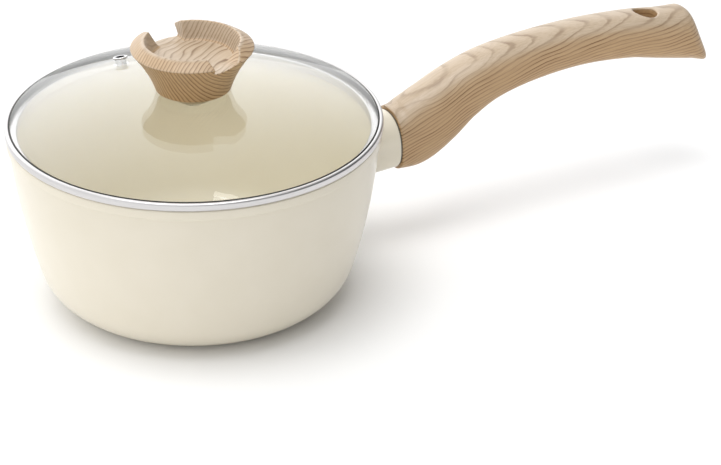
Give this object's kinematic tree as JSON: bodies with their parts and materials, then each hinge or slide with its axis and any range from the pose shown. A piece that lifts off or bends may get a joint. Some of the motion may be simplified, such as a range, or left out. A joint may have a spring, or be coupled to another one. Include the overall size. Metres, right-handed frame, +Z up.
{
  "type": "saucepan with glass lid",
  "caption": "Cream saucepan with a long arched wood-look handle, a steel-rimmed domed glass lid with a steam vent and a flared spoon-rest knob.",
  "frame": {"origin": "middle of the base, on the plane that the pan rests on", "axes": "+X along the handle away from the pan, +Z up, towards the knob"},
  "size_m": [0.401, 0.19, 0.1391],
  "materials": {
    "cream_enamel": "semi-gloss cream paint on cast aluminium, ceramic coating inside",
    "brushed_steel": "brushed",
    "bright_steel": "polished",
    "dark_seal": "matt",
    "wood_look": "soft-touch moulding with a printed pale wood grain",
    "clear_glass": "polished tempered glass",
    "insert_brass": "machined",
    "clear_seal": "translucent silicone"
  },
  "bodies": {
    "pan": {"pan_body": "cream_enamel", "induction_plate": "brushed_steel", "handle_bracket": "brushed_steel", "flame_guard": "cream_enamel", "guard_gasket": "dark_seal", "handle_grip": "wood_look", "handle_screw": "bright_steel", "spring_washer": "bright_steel"},
    "lid": {"lid_glass": "clear_glass", "lid_rim": "brushed_steel", "rim_gasket": "dark_seal", "vent_eyelet": "bright_steel", "knob": "wood_look", "knob_insert": "insert_brass", "seal_upper": "clear_seal", "seal_lower": "clear_seal", "knob_washer": "bright_steel", "knob_screw": "bright_steel"}
  },
  "joints": [
    {"name": "lid_lift", "type": "slide", "parent": "pan", "child": "lid", "axis": [0, 0, 1], "range_m": [0, 0.12]}
  ]
}
